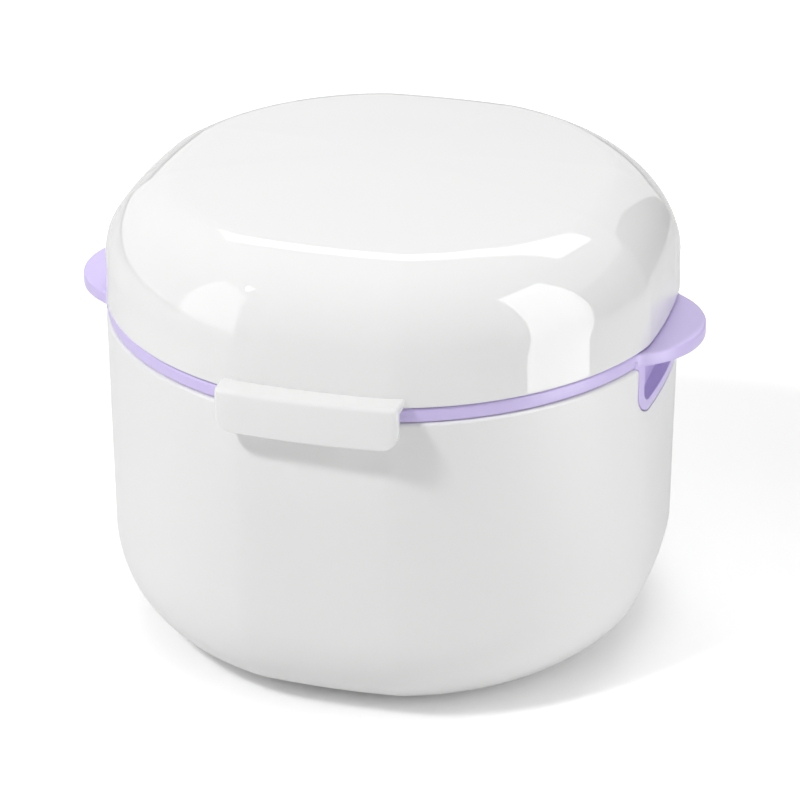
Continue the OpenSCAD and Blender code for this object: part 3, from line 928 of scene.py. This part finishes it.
def moulded_surface():
    """Fine grain and slow waviness of a mould, as one height."""
    group, given, result = effect_group(
        "moulded_surface",
        [("Grain Scale", 2500), ("Grain Depth", 0.3), ("Wave Scale", 45), ("Wave Depth", 0.2)],
        ["Height"])
    nodes, links = group.nodes, group.links
    place = nodes.new("ShaderNodeTexCoord").outputs["Object"]
    grain = noise(nodes, links, place, given.outputs["Grain Scale"], 2)
    wave = noise(nodes, links, place, given.outputs["Wave Scale"], 1)
    grain = math_node(nodes, links, "MULTIPLY", grain, given.outputs["Grain Depth"])
    wave = math_node(nodes, links, "MULTIPLY", wave, given.outputs["Wave Depth"])
    links.new(math_node(nodes, links, "ADD", grain, wave), result.inputs["Height"])
    return group


def handled_gloss():
    """Roughness between two values: smooth, but duller in faint smudges and fine wipe marks."""
    group, given, result = effect_group(
        "handled_gloss",
        [("Smooth", 0.08), ("Dull", 0.16), ("Smudge Scale", 38), ("Wipe Scale", 90)],
        ["Roughness"])
    nodes, links = group.nodes, group.links
    place = nodes.new("ShaderNodeTexCoord").outputs["Object"]
    smudge = noise(nodes, links, place, given.outputs["Smudge Scale"], 4)
    smudge = math_node(nodes, links, "SUBTRACT", smudge, 0.45, clamp=True)
    stretch = nodes.new("ShaderNodeMapping")
    set_inputs(stretch, {"Scale": (1, 9, 3), "Rotation": (0, 0, 0.5)})
    links.new(place, stretch.inputs["Vector"])
    wipe = noise(nodes, links, stretch.outputs["Vector"], given.outputs["Wipe Scale"], 2)
    wipe = math_node(nodes, links, "SUBTRACT", wipe, 0.5, clamp=True)
    both = math_node(nodes, links, "ADD", math_node(nodes, links, "MULTIPLY", smudge, 2.5),
                     wipe, clamp=True)
    span = math_node(nodes, links, "SUBTRACT", given.outputs["Dull"], given.outputs["Smooth"])
    more = math_node(nodes, links, "MULTIPLY", both, span)
    links.new(math_node(nodes, links, "ADD", more, given.outputs["Smooth"]),
              result.inputs["Roughness"])
    return group


SURFACE = moulded_surface()
GLOSS = handled_gloss()
print("groups:", SURFACE.name, GLOSS.name)

# %% [markdown]
# ## The plastics
# Lid, cup and basket are the same kind of plastic with different moulds behind them. The lid's
# mould was polished, so its reflections are crisp; the cup is satin with a fine grain;
# the basket is between the two. Slow noise mottles each colour by a hair, as pigment does.

# %% Plastic finishes
PLASTIC_IOR = 1.49
MOTTLE_SCALE = 30


def mottled_colour(nodes, links, colour, other):
    """Two close colours, mixed by slow noise."""
    place = nodes.new("ShaderNodeTexCoord").outputs["Object"]
    mix = nodes.new("ShaderNodeMix")
    mix.data_type = "RGBA"
    mix.inputs["A"].default_value = (*colour, 1)
    mix.inputs["B"].default_value = (*other, 1)
    links.new(noise(nodes, links, place, MOTTLE_SCALE, 3), mix.inputs["Factor"])
    return mix.outputs["Result"]


def use_group(nodes, group, values):
    """A node that runs a shared group with its own amounts."""
    node = nodes.new("ShaderNodeGroup")
    node.node_tree = group
    set_inputs(node, values)
    return node.outputs[0]


def new_material(name, values):
    """A material, its nodes, its links and its shader, with values on the shader's sockets."""
    material = bpy.data.materials.new(name)
    material.use_nodes = True
    nodes = material.node_tree.nodes
    set_inputs(nodes["Principled BSDF"], values)
    return material, nodes, material.node_tree.links, nodes["Principled BSDF"]


def plastic(name, colour, other, gloss, surface, bump):
    """A moulded plastic. gloss and surface give the inputs of the two shared groups."""
    material, nodes, links, shader = new_material(name, {"IOR": PLASTIC_IOR})
    links.new(mottled_colour(nodes, links, colour, other), shader.inputs["Base Color"])
    links.new(use_group(nodes, GLOSS, gloss), shader.inputs["Roughness"])
    relief = nodes.new("ShaderNodeBump")
    set_inputs(relief, {"Strength": 1, "Distance": bump})
    links.new(use_group(nodes, SURFACE, surface), relief.inputs["Height"])
    links.new(relief.outputs["Normal"], shader.inputs["Normal"])
    return material


lid_plastic = plastic(
    "lid_plastic", (0.87, 0.87, 0.87), (0.89, 0.89, 0.885),
    {"Smooth": 0.03, "Dull": 0.07, "Smudge Scale": 30, "Wipe Scale": 70},
    {"Grain Scale": 900, "Grain Depth": 0.02, "Wave Scale": 40, "Wave Depth": 0.5}, 0.05 * MM)
cup_plastic = plastic(
    "cup_plastic", (0.85, 0.85, 0.85), (0.87, 0.87, 0.865),
    {"Smooth": 0.42, "Dull": 0.52, "Smudge Scale": 45, "Wipe Scale": 80},
    {"Grain Scale": 2600, "Grain Depth": 0.5, "Wave Scale": 30, "Wave Depth": 0.3}, 0.02 * MM)
basket_plastic = plastic(
    "basket_plastic", (0.645, 0.555, 0.9), (0.675, 0.585, 0.92),
    {"Smooth": 0.3, "Dull": 0.4, "Smudge Scale": 45, "Wipe Scale": 90},
    {"Grain Scale": 2200, "Grain Depth": 0.4, "Wave Scale": 60, "Wave Depth": 0.3}, 0.02 * MM)

# %% [markdown]
# ## The steel of the pin
# The pin is drawn wire. Drawing leaves fine lines along it, so its roughness comes from a
# noise that is stretched along the pin.

# %% Steel
LINE_SCALE = 6000
STEEL_SMOOTH, STEEL_SPAN = 0.12, 0.3


def drawn_steel():
    """Steel with fine lines along X."""
    material, nodes, links, shader = new_material(
        "pin_steel", {"Base Color": (0.62, 0.63, 0.65, 1), "Metallic": 1})
    stretch = nodes.new("ShaderNodeMapping")
    stretch.inputs["Scale"].default_value = (0.05, 1, 1)
    links.new(nodes.new("ShaderNodeTexCoord").outputs["Object"], stretch.inputs["Vector"])
    lines = noise(nodes, links, stretch.outputs["Vector"], LINE_SCALE, 2)
    span = math_node(nodes, links, "MULTIPLY", lines, STEEL_SPAN)
    links.new(math_node(nodes, links, "ADD", span, STEEL_SMOOTH), shader.inputs["Roughness"])
    return material


pin_steel = drawn_steel()

# %% [markdown]
# ## Which piece is what
# Every piece moves with a body of the frame: what belongs to the lid with the lid, the rest
# with the root. The modelled shells stand for the plain solids, and the pin keeps its own.

# %% Bodies and materials
LID_PIECES = [lid_shell, lid_tab, lid_bead, lid_knuckle]
CUP_PIECES = [cup_shell, cup_catch, cup_knuckles]
BASKET_PIECES = [basket_shell, pocket_right, pocket_left]
for pieces, body, slot_name, material in (
        (LID_PIECES, "lid", "lid_plastic", lid_plastic),
        (CUP_PIECES, "root", "cup_plastic", cup_plastic),
        (BASKET_PIECES, "root", "basket_plastic", basket_plastic)):
    for piece in pieces:
        piece.data.materials.clear()
        piece.data.materials.append(material)
        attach(piece, body)
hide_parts("lid")
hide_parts("case_cup")
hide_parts("strainer_basket")
hinge_pin = frame["nodes"]["hinge_pin"]
hinge_pin.data.materials.clear()
hinge_pin.data.materials.append(pin_steel)

# %% [markdown]
# ## The floor
# The case stands on a white table that runs on into a white background. To the camera
# the floor also glows, so that it reaches pure white where light falls on it. The glow is
# faint round the case's foot, a painted shade that deepens the lamps' shadow there, and it grows
# far away. It doesn't light the case. The background looks white, but gives only a little light.

# %% Floor and background
FLOOR_SIZE = 8
FLOOR_GLOW = 0.35
# Share of the glow kept near the case; the missing rest is painted shade round its foot.
GLOW_SHARE_IN_PAINTED_SHADE = 0.15
NEAR_FROM, NEAR_TO = 28 * MM, 52 * MM
FAR_FROM, FAR_TO = 0.3, 1.1
AMBIENT = 0.05


def seen_directly(nodes, links):
    """1 on rays from the camera, from a reflection or through glass, else 0."""
    path = nodes.new("ShaderNodeLightPath").outputs
    glossy = math_node(nodes, links, "MAXIMUM", path["Is Camera Ray"], path["Is Glossy Ray"])
    return math_node(nodes, links, "MAXIMUM", glossy, path["Is Transmission Ray"])


def ramp(nodes, links, value, start, end, low, high, kind="LINEAR"):
    """Goes from low to high while another value goes from start to end."""
    node = nodes.new("ShaderNodeMapRange")
    node.interpolation_type = kind
    set_inputs(node, {"From Min": start, "From Max": end, "To Min": low, "To Max": high})
    links.new(value, node.inputs["Value"])
    return node.outputs["Result"]


deselect_all()
bpy.ops.mesh.primitive_plane_add(size=FLOOR_SIZE)
floor = bpy.context.object
floor.name = "floor"
table_white, nodes, links, shader = new_material(
    "table_white", {"Base Color": (0.9, 0.9, 0.9, 1), "Roughness": 0.8,
                    "Specular IOR Level": 0.1, "Emission Color": (1, 1, 1, 1)})
camera_ray = nodes.new("ShaderNodeLightPath").outputs["Is Camera Ray"]
from_case = nodes.new("ShaderNodeVectorMath")
from_case.operation = "LENGTH"
links.new(nodes.new("ShaderNodeTexCoord").outputs["Object"], from_case.inputs[0])
distance = from_case.outputs["Value"]
# Less glow near the case paints shade round its foot, on top of the lamps' own shadow.
near = ramp(nodes, links, distance, NEAR_FROM, NEAR_TO, GLOW_SHARE_IN_PAINTED_SHADE * FLOOR_GLOW,
            FLOOR_GLOW, "SMOOTHSTEP")
far = ramp(nodes, links, distance, FAR_FROM, FAR_TO, 0, 1 - FLOOR_GLOW, "SMOOTHSTEP")
total = math_node(nodes, links, "ADD", near, far)
glow = math_node(nodes, links, "MULTIPLY", camera_ray, total)
links.new(glow, shader.inputs["Emission Strength"])
floor.data.materials.append(table_white)

world = bpy.data.worlds.new("studio")
world.use_nodes = True
nodes, links = world.node_tree.nodes, world.node_tree.links
seen = seen_directly(nodes, links)
extra = math_node(nodes, links, "MULTIPLY", seen, 1 - AMBIENT)
links.new(math_node(nodes, links, "ADD", extra, AMBIENT), nodes["Background"].inputs["Strength"])
nodes["Background"].inputs["Color"].default_value = (1, 1, 1, 1)
bpy.context.scene.world = world

# %% [markdown]
# ## Cards that the lid mirrors
# The glossy lid mirrors the whole room. A large card stands far in front and gets brighter
# towards its top, so the lid's front isn't evenly white. A low, dark one stands at
# the right, towards the back, and gives that side of the lid its darker patch.

# %% Cards
CARD_Y = -2
CARD_LEFT, CARD_RIGHT = -1.6, 3.6
CARD_TOP = 2.4
BACK_CARD_FROM, BACK_CARD_TO = (0.56, 0.02), (0.21, 0.58)
BACK_CARD_TOP = 0.32


def card(name, first, last, top, low, high):
    """An upright card between two points of the floor, which only reflections show. Its
    brightness rises from its foot to its top edge."""
    corners = [(*first, 0), (*last, 0), (*last, top), (*first, top)]
    data = bpy.data.meshes.new(name)
    data.from_pydata(corners, [], [range(len(corners))])
    piece = bpy.data.objects.new(name, data)
    bpy.context.scene.collection.objects.link(piece)
    material, nodes, links, shader = new_material(
        name, {"Base Color": (0, 0, 0, 1), "Specular IOR Level": 0,
               "Emission Color": (1, 1, 1, 1)})
    split = nodes.new("ShaderNodeSeparateXYZ")
    links.new(nodes.new("ShaderNodeTexCoord").outputs["Object"], split.inputs["Vector"])
    rise = ramp(nodes, links, split.outputs["Z"], 0, top, low, high)
    links.new(rise, shader.inputs["Emission Strength"])
    data.materials.append(material)
    for kind in ("camera", "diffuse", "transmission", "volume_scatter", "shadow"):
        setattr(piece, "visible_" + kind, False)


card("front_card", (CARD_LEFT, CARD_Y), (CARD_RIGHT, CARD_Y), CARD_TOP, 0.25, 1)
card("back_card", BACK_CARD_FROM, BACK_CARD_TO, BACK_CARD_TOP, 0.1, 0.1)
print("cards up to", CARD_TOP, "and", BACK_CARD_TOP, "m high")

# %% [markdown]
# ## The lamps
# The glossy lid shows where the light comes from. A small round lamp high at the left
# throws the soft shadow to the right. Two tall softboxes stand at the right and the left,
# and a long one hangs behind. How much a lamp lights and how bright it looks in the lid are
# set apart: the lamps called shine show only in reflections, the long one behind does both,
# and all the others only light. Each is an area lamp of a real size, and its strength
# is given as the brightness of its face, which is what a reflection shows.

# %% Lamps
LAMP_AIM = Vector((0, 0, 60 * MM))
RIGHT_SIZE = (0.062, 0.206)
LEFT_SIZE = (0.6, 1.0)
# Two lamps in one plane would hide each other, so each shine stands a little off its box.
RIGHT_OFF = Vector((0.003, 0, 0))
LEFT_OFF = Vector((0.01, 0.007, 0))


def lamp(name, place, width, height, brightness, shape="RECTANGLE", aim_at=LAMP_AIM):
    """An area lamp that faces a point. brightness is the radiance of its face."""
    data = bpy.data.lights.new(name, "AREA")
    data.shape = shape
    data.size = width
    data.size_y = height
    area = width * height * (math.pi / 4 if shape in ("DISK", "ELLIPSE") else 1)
    data.energy = brightness * math.pi * area
    fixture = bpy.data.objects.new(name, data)
    bpy.context.scene.collection.objects.link(fixture)
    fixture.location = place
    fixture.rotation_euler = (Vector(aim_at) - Vector(place)).to_track_quat("-Z", "Y").to_euler()
    fixture.visible_camera = False
    return fixture


def from_lid(azimuth, elevation, distance):
    """A point seen from the lid: azimuth 0 is the front, 90 the right side."""
    azimuth, elevation = math.radians(azimuth), math.radians(elevation)
    return LAMP_AIM + distance * Vector((math.sin(azimuth) * math.cos(elevation),
                                         -math.cos(azimuth) * math.cos(elevation),
                                         math.sin(elevation)))


key_lamp = lamp("key_lamp", from_lid(-37, 46, 0.8), 0.11, 0.11, 100, "DISK")
key_shine = lamp("key_shine", from_lid(-46, 51, 0.8), 0.08, 0.08, 16, "DISK")
right_place, right_aim = Vector((0.139, -0.042, 0.103)), Vector((0.03, -0.03, 0.103))
right_box = lamp("right_box", right_place, *RIGHT_SIZE, 0.8, aim_at=right_aim)
right_shine = lamp("right_shine", right_place - RIGHT_OFF, *RIGHT_SIZE, 4.2, aim_at=right_aim)
right_fill = lamp("right_fill", from_lid(70, 15, 0.9), 0.5, 0.6, 2.3)
left_place, left_aim = from_lid(-55, 0, 1.0), Vector((0, 0, 0.5))
left_place.z = left_aim.z
left_box = lamp("left_box", left_place, *LEFT_SIZE, 1.4, aim_at=left_aim)
left_shine = lamp("left_shine", left_place + LEFT_OFF, *LEFT_SIZE, 1.7,
                  aim_at=left_aim + LEFT_OFF)
back_box = lamp("back_box", (-0.04, 0.7, 0.97), 1.2, 0.45, 3.2, aim_at=(-0.04, 0.7, 0))
top_fill = lamp("top_fill", (0, 0, 1.1), 0.6, 0.6, 2.2, aim_at=(0, 0, 0))
only_shine = [key_shine, right_shine, left_shine]
only_light = [key_lamp, right_box, right_fill, left_box, top_fill]
for fixture in only_shine:
    fixture.visible_diffuse = False
for fixture in only_light:
    fixture.visible_glossy = False
for fixture in [*only_shine, *only_light, back_box]:
    print(fixture.name, "at", [round(v, 3) for v in fixture.location],
          round(fixture.data.energy, 3), "W")
